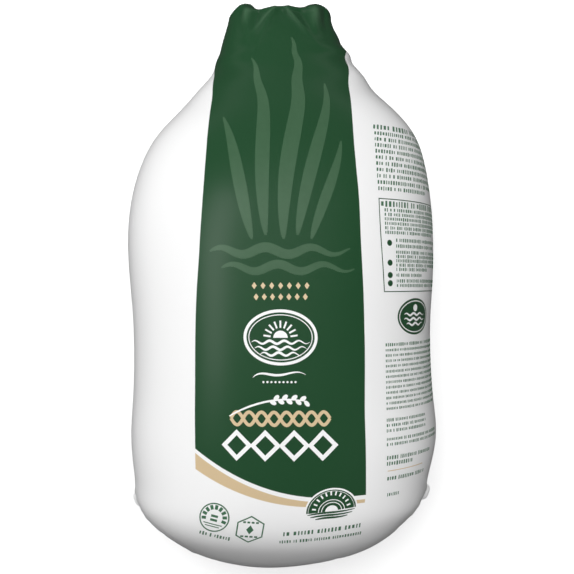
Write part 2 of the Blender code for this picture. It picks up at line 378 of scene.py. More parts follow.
film_skin = film_mesh(film_grid - pack_middle, film_tip - pack_middle, film_arc, film_along)
film = bpy.data.objects.new("film", film_skin)
bpy.context.scene.collection.objects.link(film)
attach(film, "root")
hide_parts("duck_pack")

# The film's finish: half-glossy white film, with the dark green front panel, the white gap and the
# tan band that follows the panel's lower edge printed on it, and a painted highlight on each crest of
# the crown's folds.
WHITE_FILM = (0.84, 0.84, 0.84, 1)
DARK_GREEN = (0.013, 0.0585, 0.0221, 1)
TAN = (0.60, 0.46, 0.28, 1)
# Painted highlights: the dark green is painted paler along the crests of the crown's folds, where the
# film catches the gloss. For each crest: arc length at the crown's foot, drift for each millimetre
# down the neck, half width, how far down it shows and how strong the painted highlight is.
PAINTED_HIGHLIGHT_GREEN = (0.045, 0.11, 0.056, 1)
PAINTED_CREST_HIGHLIGHTS = (
    (-18.9, -0.25, 2.0, 11.0, 0.8),
    (-5.0, -0.92, 1.1, 17.0, 0.7),
    (4.8, 0.68, 0.9, 15.0, 0.6),
    (20.6, 0.05, 2.6, 12.0, 0.9),
)
CREST_HIGHLIGHT_FADE_INSIDE = 3.0
# Distance, then how far the panel reaches to each side of the front's middle.
PANEL_LEFT = (
    (0, 43.0),
    (64, 45.2),
    (78, 45.9),
    (112, 45.3),
    (155, 43.8),
    (180, 41.6),
    (204, 40.3),
    (224, 40.3),
    (244, 41.7),
    (256, 42.6),
    (270, 42.6),
    (276, 44.0),
    (283, 48.6),
    (294, 55.0),
    (330, 62.0),
)
PANEL_RIGHT = (
    (0, 48.0),
    (52, 44.6),
    (82, 42.6),
    (131, 43.3),
    (180, 42.1),
    (204, 41.2),
    (224, 38.9),
    (244, 36.1),
    (260, 34.7),
    (274, 35.9),
    (286, 37.0),
    (294, 39.8),
    (302, 48.0),
    (330, 60.0),
)
MAP_LENGTH, MAP_WIDTH = 330.0, 70.0
# The panel's lower edge is flat to the right of its lowest place and bends up to the left.
PANEL_LOWEST, PANEL_LOWEST_PLACE, PANEL_BEND = 53.4, 26.0, 0.00465
GAP = 2.2
BAND_RIGHT_END, BAND_THINNEST, BAND_GROWTH, BAND_GROWTH_POWER = 44.2, 1.85, 0.0046, 1.6
PRINT_EDGE = 0.12
# The gloss over film and ink, then the film's own unevenness: cells to the metre and detail.
ROUGHNESS, ROUGHNESS_SPREAD, COAT_WEIGHT, COAT_ROUGHNESS = 0.28, 0.08, 0.5, 0.3
FILM_MOTTLE, FINE_GRAIN, WAVES_IN_FILM = (35.0, 3.0), (420.0, 2.0), (60.0, 1.0)
GRAIN_SHARE, BUMP_STRENGTH, BUMP_DEPTH = 0.3, 0.25, 0.0002


class Wire:
    """A socket of a node tree. Sums of wires and numbers are written as plain expressions."""

    def __init__(self, tree, socket=None):
        self.tree, self.socket = tree, socket

    def node(self, kind, settings=None, sockets=None, output=0):
        """Adds a node: its settings first, then the values or links of its sockets."""
        node = self.tree.nodes.new(kind)
        for name, value in (settings or {}).items():
            if name == "curve":
                line = node.mapping.curves[0]
                line.points[0].location, line.points[-1].location = value[0], value[-1]
                for at, height in value[1:-1]:
                    line.points.new(at, height)
                node.mapping.update()
            else:
                setattr(node, name, value)
        for name, value in (sockets or {}).items():
            wires = value if isinstance(value, list) else [value]
            for wire in wires:
                if isinstance(wire, Wire):
                    self.tree.links.new(wire.socket, node.inputs[name])
                else:
                    node.inputs[name].default_value = wire
        return Wire(self.tree, node.outputs[output])

    def out(self, name):
        """Another output of the node that this wire comes from."""
        return Wire(self.tree, self.socket.node.outputs[name])

    def maths(self, operation, *terms):
        return self.node("ShaderNodeMath", {"operation": operation}, dict(enumerate(terms)))

    def __add__(self, other):
        return self.maths("ADD", self, other)

    __radd__ = __add__

    def __sub__(self, other):
        return self.maths("SUBTRACT", self, other)

    def __rsub__(self, other):
        return self.maths("SUBTRACT", other, self)

    def __mul__(self, other):
        return self.maths("MULTIPLY", self, other)

    __rmul__ = __mul__

    def __truediv__(self, other):
        return self.maths("DIVIDE", self, other)

    def __pow__(self, other):
        return self.maths("POWER", self, other)

    def above(self, edge, softness):
        """0 where this is below the edge and 1 where it is above, with a soft step."""
        step = {"Value": self - edge, "From Min": -softness, "From Max": softness}
        return self.node("ShaderNodeMapRange", {"interpolation_type": "SMOOTHSTEP"}, step)

    def at_least(self, other):
        return self.maths("MAXIMUM", self, other)

    def size(self):
        return self.maths("ABSOLUTE", self)

    def blend(self, low, high):
        """The colour low where this is 0, and high where it is 1."""
        colours = {0: self, 6: low, 7: high}
        return self.node("ShaderNodeMix", {"data_type": "RGBA"}, colours, 2)


def finish(name):
    material = bpy.data.materials.new(name)
    material.use_nodes = True
    shader = material.node_tree.nodes["Principled BSDF"]
    return material, Wire(material.node_tree), shader


def cloudy(paint, scale, detail):
    """Noise that stays with the piece, so many cells to the metre."""
    place = paint.node("ShaderNodeTexCoord", None, None, "Object")
    noise = {"Vector": place, "Scale": scale, "Detail": detail}
    return paint.node("ShaderNodeTexNoise", None, noise)


def glossed(paint, shader, mottle):
    """Gives film or ink its half gloss, a little uneven."""
    roughness = ROUGHNESS + ROUGHNESS_SPREAD * mottle
    paint.tree.links.new(roughness.socket, shader.inputs["Roughness"])
    shader.inputs["Coat Weight"].default_value = COAT_WEIGHT
    shader.inputs["Coat Roughness"].default_value = COAT_ROUGHNESS


film_finish, paint, shader = finish("printed film")
spot = paint.node("ShaderNodeUVMap", {"uv_map": "print"})
spot = paint.node("ShaderNodeSeparateXYZ", None, {0: spot})
across, distance = spot.out("X") * (1 / MM), spot.out("Y") * (1 / MM)


def panel_side(stations):
    """How far the panel reaches to one side at this distance."""
    curve = [(at / MAP_LENGTH, reach / MAP_WIDTH) for at, reach in stations]
    share = {"Value": distance / MAP_LENGTH}
    return paint.node("ShaderNodeFloatCurve", {"curve": curve}, share) * MAP_WIDTH


def inside(depth):
    """1 where the depth inside a printed edge is above 0, and 0 outside it."""
    return depth.above(0.0, PRINT_EDGE)


def painted_crest_highlight(place, drift, half_width, reach, highlight_strength):
    """The painted highlight over one crest of the crown: how much paler the green is painted there.
    """
    down = CROWN_START - distance
    beside = (across - down * drift - place).size()
    pale = (half_width - beside).above(0.0, half_width) * highlight_strength
    pale = pale * (reach / 2 - down).above(0.0, reach / 2)
    return pale * (down + CREST_HIGHLIGHT_FADE_INSIDE).above(0.0, CREST_HIGHLIGHT_FADE_INSIDE)


left_side, right_side = panel_side(PANEL_LEFT), panel_side(PANEL_RIGHT)
lowest = PANEL_LOWEST + PANEL_BEND * (PANEL_LOWEST_PLACE - across).at_least(0.0) ** 2.0
panel = inside(across + left_side) * inside(right_side - across) * inside(distance - lowest)
band_top = lowest - GAP
thickness = (BAND_RIGHT_END - across).at_least(0.0) ** BAND_GROWTH_POWER
thickness = BAND_THINNEST + BAND_GROWTH * thickness
tan_band = inside(band_top - distance) * inside(distance - band_top + thickness)
tan_band = tan_band * inside(across + left_side) * inside(BAND_RIGHT_END - across)
# Painted highlights: the panel's green is mixed towards a paler green along the crown's fold crests.
crest_highlights = painted_crest_highlight(*PAINTED_CREST_HIGHLIGHTS[0])
for row in PAINTED_CREST_HIGHLIGHTS[1:]:
    crest_highlights = crest_highlights.at_least(painted_crest_highlight(*row))
colour = panel.blend(WHITE_FILM, crest_highlights.blend(DARK_GREEN, PAINTED_HIGHLIGHT_GREEN))
colour = tan_band.blend(colour, TAN)
paint.tree.links.new(colour.socket, shader.inputs["Base Color"])
glossed(paint, shader, cloudy(paint, *FILM_MOTTLE))
unevenness = cloudy(paint, *FINE_GRAIN) * GRAIN_SHARE + cloudy(paint, *WAVES_IN_FILM)
bump = {"Strength": BUMP_STRENGTH, "Distance": BUMP_DEPTH, "Height": unevenness}
bump = paint.node("ShaderNodeBump", None, bump)
paint.tree.links.new(bump.socket, shader.inputs["Normal"])
film_skin.materials.append(film_finish)

# The watermark
# Broad reed blades over ripples in a lighter green, printed faintly on the upper half of the panel.
# Every piece of print is a thin closed layer of ink, drawn flat in millimetres from the front's
# middle and from the sealed tip, and then laid on the film by Geometry Nodes.
INK_DEPTH, INK_HEIGHT, LAYER = -0.05, 0.06, 0.03
INK_MOTTLE, MOTTLE_GAIN, MOTTLE_LIFT = (300.0, 2.0), 1.12, 0.004
PALE_GREEN = (0.04, 0.1, 0.049, 1)


def slab(sheet, layer=0, closed=False):
    """A thin layer without gaps, from a grid of flat places. Where closed is true, its last row
    joins its first."""
    rows, columns = sheet.shape[:2]
    count = rows * columns
    flat = sheet.reshape(-1, 2)
    top = np.column_stack((flat, np.full(count, INK_HEIGHT + layer * LAYER)))
    bottom = np.column_stack((flat, np.full(count, INK_DEPTH)))
    faces = []
    for r in range(rows if closed else rows - 1):
        low, high = r * columns, (r + 1) % rows * columns
        for c in range(columns - 1):
            faces.append((low + c, high + c, high + c + 1, low + c + 1))
            faces.append(tuple(count + corner for corner in faces[-1][::-1]))
        faces.append((low, low + count, high + count, high))
        low, high = low + columns - 1, high + columns - 1
        faces.append((low, high, high + count, low + count))
    for c in range(0 if closed else columns - 1):
        last = count - columns + c
        faces.append((c, c + 1, c + 1 + count, c + count))
        faces.append((last, last + count, last + 1 + count, last + 1))
    return np.vstack((top, bottom)), faces


def stroke(path, widths, layer=0, cells=2):
    """A stroke along a flat path, as wide at each of its points as widths says."""
    path = np.array(path, float)
    way = np.gradient(path, axis=0)
    side = np.column_stack((-way[:, 1], way[:, 0])) / np.linalg.norm(way, axis=1)[:, None]
    reach = np.linspace(-0.5, 0.5, cells + 1)[None, :, None]
    wide = np.broadcast_to(widths, len(path))[:, None, None]
    return slab(path[:, None, :] + side[:, None, :] * reach * wide, layer)


def curved(points, steps):
    """Places along the Bezier curve that the given points steer."""
    t = np.linspace(0.0, 1.0, steps)[:, None]
    places = np.array(points, float)[:, None, :] * np.ones((1, steps, 1))
    while len(places) > 1:
        places = places[:-1] * (1 - t) + places[1:] * t
    return places[0]


def wave(start, end, height, swing, length, steps):
    """Places along a level wave."""
    across = np.linspace(start, end, steps)
    turn = (across - start) / length * 2 * math.pi
    return np.column_stack((across, height + swing * np.sin(turn)))


def tapered(width, steps, start=0.12):
    """Widths of a stroke that swells in its middle and ends fine."""
    t = np.linspace(0.0, 1.0, steps)
    return width * (start + (1 - start) * np.sin(math.pi * t**0.8) ** 0.8)


def flat_mesh(name, slabs):
    points, faces, count = [np.zeros((0, 3))], [], 0
    for places, corners in slabs:
        points.append(places)
        faces.extend(tuple(count + corner for corner in face) for face in corners)
        count += len(places)
    body = bpy.data.meshes.new(name)
    body.from_pydata((np.vstack(points) * MM).tolist(), [], faces)
    shape = bmesh.new()
    shape.from_mesh(body)
    bmesh.ops.recalc_face_normals(shape, faces=shape.faces)
    shape.to_mesh(body)
    shape.free()
    return body


def named_tree(name, inputs):
    """A tree with the named inputs and one output of print, and a wire to its inputs."""
    tree = bpy.data.node_groups.new(name, "GeometryNodeTree")
    for title, kind in inputs.items():
        tree.interface.new_socket(title, in_out="INPUT", socket_type="NodeSocket" + kind)
    tree.interface.new_socket("Print", in_out="OUTPUT", socket_type="NodeSocketGeometry")
    return tree, Wire(tree).node("NodeGroupInput")


def ended(given, print_made):
    """Ends a tree: what it made is realized and given its ink."""
    real = given.node("GeometryNodeRealizeInstances", None, {"Geometry": print_made})
    inked = {"Geometry": real, "Material": given.out("Ink")}
    inked = given.node("GeometryNodeSetMaterial", None, inked)
    output = given.tree.nodes.new("NodeGroupOutput")
    given.tree.links.new(inked.socket, output.inputs["Print"])
    return given.tree


def laying_tree():
    """Lays flat print on the film: its places are read as the film's own print map."""
    inputs = {"Print": "Geometry", "Film": "Object", "Ink": "Material"}
    tree, given = named_tree("lay on the film", inputs)
    flat = given.node("ShaderNodeSeparateXYZ", None, {0: given.node("GeometryNodeInputPosition")})
    place = given.node("ShaderNodeCombineXYZ", None, {"X": flat.out("X"), "Y": flat.out("Y")})
    skin = given.node("GeometryNodeObjectInfo", None, {"Object": given.out("Film")}, "Geometry")
    print_map = {"data_type": "FLOAT_VECTOR"}
    print_map = given.node("GeometryNodeInputNamedAttribute", print_map, {"Name": "print"})

    def on_film(value):
        sampled = {"Mesh": skin, "Value": value, "UV Map": print_map, "Sample UV": place}
        return given.node("GeometryNodeSampleUVSurface", {"data_type": "FLOAT_VECTOR"}, sampled)

    lifted = {0: on_film(given.node("GeometryNodeInputNormal")), "Scale": flat.out("Z")}
    lifted = given.node("ShaderNodeVectorMath", {"operation": "SCALE"}, lifted)
    surface = on_film(given.node("GeometryNodeInputPosition"))
    place = given.node("ShaderNodeVectorMath", {"operation": "ADD"}, {0: surface, 1: lifted})
    laid = {"Geometry": given.out("Print"), "Position": place}
    return ended(given, given.node("GeometryNodeSetPosition", None, laid))


lay_on_film = laying_tree()
SMOOTH_BELOW = math.radians(35)


def worked(piece, tree, inputs):
    """Adds a tree to a piece as a modifier, with its named inputs set."""
    modifier = piece.modifiers.new(tree.name, "NODES")
    modifier.node_group = tree
    for item in tree.interface.items_tree:
        if item.in_out == "INPUT" and item.name in inputs:
            modifier[item.identifier] = inputs[item.name]


def plain_mesh(piece):
    """Turns a piece's modifiers into its own mesh."""
    graph = bpy.context.evaluated_depsgraph_get()
    data = bpy.data.meshes.new_from_object(piece.evaluated_get(graph), depsgraph=graph)
    piece.modifiers.clear()
    data.name = piece.name
    data.shade_smooth()
    data.set_sharp_from_angle(angle=SMOOTH_BELOW)
    piece.data = data


def printed(name, slabs, ink, rows=()):
    """One piece of print, of drawn shapes and rows of small print, laid on the film."""
    piece = bpy.data.objects.new(name, flat_mesh(name, slabs))
    bpy.context.scene.collection.objects.link(piece)
    for block in rows:
        worked(piece, small_print, {"Ink": ink, **block})
    worked(piece, lay_on_film, {"Film": film, "Ink": ink})
    plain_mesh(piece)
    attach(piece, "root")
    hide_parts("duck_pack")


def ink(name, colour):
    """An ink under the film's gloss, a little uneven as print on film is."""
    material, paint, shader = finish(name)
    mottle = cloudy(paint, *INK_MOTTLE)
    pale = tuple(min(1.0, part * MOTTLE_GAIN + MOTTLE_LIFT) for part in colour[:3]) + (1,)
    paint.tree.links.new(mottle.blend(colour, pale).socket, shader.inputs["Base Color"])
    glossed(paint, shader, mottle)
    return material


pale_green_ink = ink("pale green ink", PALE_GREEN)
# Each blade's course from its foot to its tip, and its width.
BLADES = (
    (((-7, 186), (-11, 222), (-10, 258), (-19, 286)), 7.5),
    (((2, 184), (1, 226), (9, 262), (5, 298)), 8.5),
    (((9, 186), (14, 218), (22, 246), (21, 270)), 7.0),
    (((-14, 184), (-20, 208), (-24, 232), (-34, 250)), 6.5),
    (((16, 184), (22, 204), (30, 220), (30, 236)), 5.5),
)
BLADE_STEPS, RIPPLE_STEPS = 60, 64
# Each ripple's ends, its distance and its width.
RIPPLES = ((-36, 36, 178.0, 5.0), (-30, 38, 169.5, 4.4))
RIPPLE_SWING, RIPPLE_LENGTH = 1.8, 23.0
watermark = []
for course, width in BLADES:
    watermark.append(stroke(curved(course, BLADE_STEPS), tapered(width, BLADE_STEPS), cells=4))
for start, end, height, width in RIPPLES:
    path = wave(start, end, height, RIPPLE_SWING, RIPPLE_LENGTH, RIPPLE_STEPS)
    watermark.append(stroke(path, tapered(width, RIPPLE_STEPS), cells=3))
printed("watermark", watermark, pale_green_ink)

# The panel's white print
# From the top, all in the film's own white: an oval emblem of a low sun over waves, a fine
# flourish with dots, a sprig of round buds, and a bold chain of four links.
PRINTED_WHITE = (0.82, 0.82, 0.82, 1)
white_ink = ink("white ink", PRINTED_WHITE)


def band(outer, inner, layer=0, cells=1):
    """A closed ring between two outlines of as many places each."""
    share = np.linspace(0.0, 1.0, cells + 1)[None, :, None]
    return slab(outer[:, None, :] * (1 - share) + inner[:, None, :] * share, layer, closed=True)


def oval(half_width, half_height, steps=72):
    turn = np.arange(steps) / steps * 2 * math.pi
    return np.column_stack((half_width * np.cos(turn), half_height * np.sin(turn)))


def polygon(corners, cells):
    """A closed outline through straight sides, each cut into cells."""
    corners = np.array(corners, float)
    t = np.arange(cells)[None, :, None] / cells
    return (corners[:, None] * (1 - t) + np.roll(corners, -1, axis=0)[:, None] * t).reshape(-1, 2)


def disc(half_width, half_height, layer=0, cells=6, lowest=-1.0):
    """A filled oval about the middle, or its upper half where lowest is 0."""
    s, t = np.meshgrid(np.linspace(-1, 1, cells + 1), np.linspace(lowest, 1, cells + 1))
    across, up = s * np.sqrt(1 - t**2 / 2), t * np.sqrt(1 - s**2 / 2)
    return slab(np.dstack((half_width * across, half_height * up)), layer)


def placed(slabs, place, turn=0.0):
    """Slabs drawn about the middle, turned by so many degrees and put in their place."""
    cos, sin = math.cos(math.radians(turn)), math.sin(math.radians(turn))
    moved = []
    for points, faces in slabs:
        flat = points[:, :2] @ np.array(((cos, sin), (-sin, cos))) + place
        moved.append((np.column_stack((flat, points[:, 2])), faces))
    return moved


def rays(count, first, last, inner, outer, width, layer=0):
    """Short strokes that stand round the middle between two turns in degrees."""
    drawn = []
    for turn in np.radians(np.linspace(first, last, count)):
        way = np.array((math.cos(turn), math.sin(turn)))
        path = [way * inner, way * (inner + outer) / 2, way * outer]
        drawn.append(stroke(path, width, layer, cells=1))
    return drawn


EMBLEM_PLACE = (-0.3, 134.7)
EMBLEM_HALF_WIDTH, EMBLEM_HALF_HEIGHT, EMBLEM_RIM = 18.6, 14.0, 1.5
FINE_RIM_INSET, FINE_RIM = 2.5, 0.45
EMBLEM_WAVES = ((-2.4, 14.6), (-5.4, 13.0), (-8.3, 10.2))  # height, half length
EMBLEM_WAVE_SWING, EMBLEM_WAVE_LENGTH, EMBLEM_WAVE_WIDTH = 0.8, 7.3, 1.3
SUN_HEIGHT, SUN_RADIUS = -0.2, 3.6
# Count, first and last turn in degrees, inner and outer reach, and width.
SUN_RAYS = (9, 8, 172, 5.0, 8.6, 0.9)


def rim(half_width, half_height, width, layer=0):
    return band(oval(half_width, half_height), oval(half_width - width, half_height - width), layer)


emblem = [
    rim(EMBLEM_HALF_WIDTH, EMBLEM_HALF_HEIGHT, EMBLEM_RIM),
    rim(EMBLEM_HALF_WIDTH - FINE_RIM_INSET, EMBLEM_HALF_HEIGHT - FINE_RIM_INSET, FINE_RIM),
]
for height, half_length in EMBLEM_WAVES:
    path = wave(-half_length, half_length, height, EMBLEM_WAVE_SWING, EMBLEM_WAVE_LENGTH, 40)
    emblem.append(stroke(path, tapered(EMBLEM_WAVE_WIDTH, 40)))
sun = [disc(SUN_RADIUS, SUN_RADIUS, lowest=0.0), *rays(*SUN_RAYS)]
emblem.extend(placed(sun, (0.0, SUN_HEIGHT)))
white_print = placed(emblem, EMBLEM_PLACE)

FLOURISH = ((-14.5, 114.6), (-8.0, 121.5), (-2.0, 108.5), (4.0, 121.5), (12.0, 116.0))
FLOURISH_WIDTH = 1.2
DOTS, FIRST_DOT, DOT_PITCH, DOT_RADIUS = 9, (-9.2, 112.4), 2.0, 0.55
white_print.append(stroke(curved(FLOURISH, 40), tapered(FLOURISH_WIDTH, 40)))
for k in range(DOTS):
    spot = (FIRST_DOT[0] + DOT_PITCH * k, FIRST_DOT[1])
    white_print.extend(placed([disc(DOT_RADIUS, DOT_RADIUS, cells=3)], spot))

SPRIG = ((-27.0, 95.0), (-16.0, 101.5), (-2.0, 105.8), (12.4, 102.6))
SPRIG_WIDTH, SPRIG_STEPS = 1.0, 100
BUDS, FIRST_BUD, LAST_BUD = 9, 0.56, 0.97  # shares of the sprig's length
BUD_LENGTH, BUD_HALF_WIDTH, BUD_LEAN = 1.75, 1.1, 38.0
white_print.append(stroke(curved(SPRIG, 44), tapered(SPRIG_WIDTH, 44, start=0.4), layer=1))
sprig_places = curved(SPRIG, SPRIG_STEPS + 1)
for k, share in enumerate(np.linspace(FIRST_BUD, LAST_BUD, BUDS)):
    step = round(share * SPRIG_STEPS)
    spot, before = sprig_places[step], sprig_places[step - 1]
    lean = BUD_LEAN if k % 2 else -BUD_LEAN
    turn = math.degrees(math.atan2(spot[1] - before[1], spot[0] - before[0])) + lean
    way = math.radians(turn)
    spot = spot + (BUD_LENGTH * math.cos(way), BUD_LENGTH * math.sin(way))
    white_print.extend(placed([disc(BUD_LENGTH, BUD_HALF_WIDTH)], spot, turn))

LINK_HALF_WIDTH, LINK_HALF_HEIGHT, LINK_STROKE = 7.9, 8.0, 3.0
LINKS, LINK_PITCH, CHAIN_MIDDLE, LINK_CELLS = 4, 14.5, (-1.7, 80.4), 8
link_corners = np.array(((1, 0), (0, 1), (-1, 0), (0, -1)))
link_size = np.array((LINK_HALF_WIDTH, LINK_HALF_HEIGHT))
link_outside = polygon(link_corners * link_size, LINK_CELLS)
link_inside = polygon(link_corners * (link_size - LINK_STROKE), LINK_CELLS)
for k in range(LINKS):
    spot = (CHAIN_MIDDLE[0] + (k - (LINKS - 1) / 2) * LINK_PITCH, CHAIN_MIDDLE[1])
    white_print.extend(placed([band(link_outside, link_inside, layer=k % 2)], spot))
printed("panel_white_print", white_print, white_ink)

# The panel's tan print
# Two rows of small lozenges above the emblem, and a twisted cord of two strands above the chain.
tan_ink = ink("tan ink", TAN)
LOZENGE_ROWS = ((160.5, 7, 4.4, 1.75), (154.9, 7, 4.1, 1.75))  # distance, count, pitch, half height
LOZENGE_SHARE = 0.72
CORD_START, CORD_END, CORD_DISTANCE, CORD_SWING, CORD_TURN = -26.2, 23.8, 94.0, 3.3, 12.5
STRAND_WIDTH, STRAND_STEPS = 1.7, 90


def lozenge(half_width, half_height, layer=0, cells=2):
    s, t = np.meshgrid(np.linspace(-1, 1, cells + 1), np.linspace(-1, 1, cells + 1))
    return slab(np.dstack((half_width * (s - t) / 2, half_height * (s + t) / 2)), layer)


tan_print = []
for distance_up, count, pitch, half_height in LOZENGE_ROWS:
    for k in range(count):
        spot = ((k - (count - 1) / 2) * pitch, distance_up)
        tan_print.extend(placed([lozenge(half_height * LOZENGE_SHARE, half_height)], spot))
for layer, swing in enumerate((CORD_SWING, -CORD_SWING)):
    path = wave(CORD_START, CORD_END, CORD_DISTANCE, swing, CORD_TURN, STRAND_STEPS)
    tan_print.append(stroke(path, STRAND_WIDTH, layer))
printed("panel_tan_print", tan_print, tan_ink)

# The badge
# A half-round badge over the panel's lower edge: a white rim, a green ground with white rays round
# a low sun, and green furrows under it. It is tilted a little, as it is on the film.
dark_green_ink = ink("dark green ink", DARK_GREEN)
BADGE_PLACE, BADGE_TILT = (26.3, 46.5), 5.3
BADGE_HALF_WIDTH, BADGE_HEIGHT, BADGE_RIM = 13.9, 11.9, 0.85
BADGE_CELLS = 14
# Count, first and last turn in degrees, inner and outer reach, and width.
BADGE_RAYS = (11, 12, 168, 8.2, 10.2, 0.8)
BADGE_ARCS = ((12.1, 0.22), (6.8, 0.4), (5.2, 0.4))  # radius, width
BADGE_SUN_HALF_WIDTH, BADGE_SUN_HEIGHT = 3.3, 2.9
FURROWS = ((-0.8, 12.4, 1.0), (-2.2, 11.0, 1.05), (-3.6, 8.4, 1.1))  # height, half length, width
FURROW_SWING = 0.25


def half_rim(radius, width, layer):
    """A half ring about the middle, a little lower than it is wide, as the badge is."""
    turn = np.linspace(0.0, math.pi, 40)
    flat = BADGE_HEIGHT / BADGE_HALF_WIDTH
    path = np.column_stack((radius * np.cos(turn), radius * flat * np.sin(turn)))
    return stroke(path, width, layer, cells=1)


badge_white = [disc(BADGE_HALF_WIDTH, BADGE_HEIGHT, 0, BADGE_CELLS, lowest=0.0)]
badge_white.extend(rays(*BADGE_RAYS, layer=2))
badge_white.extend(half_rim(radius, width, 2) for radius, width in BADGE_ARCS)
badge_white.append(disc(BADGE_SUN_HALF_WIDTH, BADGE_SUN_HEIGHT, 2, lowest=0.0))
ground = (BADGE_HALF_WIDTH - BADGE_RIM, BADGE_HEIGHT - BADGE_RIM)
badge_green = [disc(*ground, 1, BADGE_CELLS, lowest=0.0)]
for height, half_length, width in FURROWS:
    path = wave(-half_length, half_length, height, FURROW_SWING, 2 * half_length, 24)
    badge_green.append(stroke(path, tapered(width, 24, start=0.35), cells=1))
printed("badge_white", placed(badge_white, BADGE_PLACE, BADGE_TILT), white_ink)
printed("badge_green", placed(badge_green, BADGE_PLACE, BADGE_TILT), dark_green_ink)

# The front marks
# Two fine outlined marks by the sealed end, a round one and a six-sided one, with plain bars in
# them, and the small print by them. Small print is drawn as rows of plain upright ticks.
ROUND_MARK, ROUND_MARK_TILT = (-33.6, 42.2), -10.0
ROUND_HALF_WIDTH, ROUND_HALF_HEIGHT = 8.2, 8.0
# Count, first and last turn in degrees, inner and outer reach, and width.
ROUND_MARK_RAYS = (9, -12, 192, 4.5, 6.9, 1.6)
ROUND_MARK_BARS = ((1.9, 0.9, 1.3), (1.9, -1.3, 1.3), (5.2, -3.6, 0.5), (4.0, -4.9, 0.5))
SIX_SIDED_MARK, SIX_SIDED_TILT = (-14.3, 36.6), -2.0
SIX_SIDED_REACH = 7.0
HEXAGON = np.array(((7.0, 3.9), (0.0, 7.8), (-7.0, 3.9), (-7.0, -3.9), (0.0, -7.8), (7.0, -3.9)))
LOZENGE_HALF_WIDTH, LOZENGE_HALF_HEIGHT = 1.9, 2.6
# Rows of short bars: half length, height and pitch.
SHORT_BARS, SHORT_BARS_IN_ROW, SHORT_BAR_WIDTH = ((0.7, 4.1, 2.2), (0.8, -4.0, 2.4)), 4, 1.0
FINE_LINE = 0.7
SMALL_PRINT_GREEN = (0.045, 0.13, 0.068, 1)
# Shares of the print's height: a tick's least and greatest width and height, the gap after it, and
# the wider space that now and then follows.
TICK_WIDTHS, TICK_HEIGHTS, TICK_GAP = (0.2, 0.5), (0.7, 1.0), 0.34
SPACE, SPACE_CHANCE = 0.45, 0.14


def bar(half_length, height, width, layer=0):
    """A level bar about the middle."""
    ends = np.linspace(-half_length, half_length, max(3, round(half_length)))
    return stroke(np.column_stack((ends, np.full(len(ends), height))), width, layer, cells=1)


def small_print_tree():
    """Adds rows of upright ticks in groups, as small print looks from a distance. Its sizes are in
    millimetres, and it starts at the left end of its first row."""
    sizes = ("Tilt", "Width", "Last Width", "Pitch", "Lean", "Height")
    inputs = {"Print": "Geometry", "Ink": "Material", "Place": "Vector"}
    inputs.update({count: "Int" for count in ("Rows", "Ticks", "Seed")})
    inputs.update({size: "Float" for size in sizes})
    tree, given = named_tree("rows of small print", inputs)
    rows, ticks, width, height = (given.out(name) for name in ("Rows", "Ticks", "Width", "Height"))
    index = given.node("GeometryNodeInputIndex")
    row = index.maths("FLOOR", index / ticks)

    def chance(low, high, number):
        ends = {2: low, 3: high, 7: index, 8: given.out("Seed") + number}
        return given.node("FunctionNodeRandomValue", {"data_type": "FLOAT"}, ends, 1)

    thick = height * chance(*TICK_WIDTHS, 0)
    space = row.maths("GREATER_THAN", chance(0.0, 1.0, 1), 1 - SPACE_CHANCE)
    run = {0: thick + height * (TICK_GAP + SPACE * space), 1: row}
    start = given.node("GeometryNodeAccumulateField", {"data_type": "FLOAT"}, run, "Trailing")
    in_last = row.maths("GREATER_THAN", row, rows - 1.5)
    limit = width + (given.out("Last Width") - width) * in_last
    shown = row.maths("LESS_THAN", start + thick, limit)
    place = {"X": start + thick / 2 + given.out("Lean") * row, "Y": row * given.out("Pitch") * -1}
    place["Z"] = (INK_HEIGHT + INK_DEPTH) / 2
    place = given.node("ShaderNodeCombineXYZ", None, place)
    spots = given.node("GeometryNodePoints", None, {"Count": rows * ticks})
    spots = given.node("GeometryNodeSetPosition", None, {"Geometry": spots, "Position": place})
    tick = given.node("GeometryNodeMeshCube", None, {"Size": (1.0, 1.0, INK_HEIGHT - INK_DEPTH)})
    size = {"X": thick, "Y": height * chance(*TICK_HEIGHTS, 2), "Z": 1.0}
    size = given.node("ShaderNodeCombineXYZ", None, size)
    drawn = {"Points": spots, "Selection": shown, "Instance": tick, "Scale": size}
    drawn = given.node("GeometryNodeInstanceOnPoints", None, drawn)
    place = {0: given.out("Place"), "Scale": MM}
    place = given.node("ShaderNodeVectorMath", {"operation": "SCALE"}, place)
    turn = given.node("ShaderNodeCombineXYZ", None, {"Z": given.out("Tilt")})
    moved = {"Geometry": drawn, "Translation": place, "Rotation": turn, "Scale": (MM, MM, MM)}
    moved = given.node("GeometryNodeTransform", None, moved)
    joined = {"Geometry": [given.out("Print"), moved]}
    return ended(given, given.node("GeometryNodeJoinGeometry", None, joined))


small_print = small_print_tree()


def block(place, rows, width, last_width, pitch, lean, height, tilt=0.0):
    """The inputs of one block of small print. Its seed comes from its place."""
    return {
        "Place": (float(place[0]), float(place[1]), 0.0),
        "Tilt": math.radians(tilt),
        "Rows": rows,
        "Ticks": math.ceil(width / (height * (TICK_WIDTHS[0] + TICK_GAP))),
        "Width": float(width),
        "Last Width": float(last_width),
        "Pitch": float(pitch),
        "Lean": float(lean),
        "Height": float(height),
        "Seed": round(place[0] + 10 * place[1]),
    }


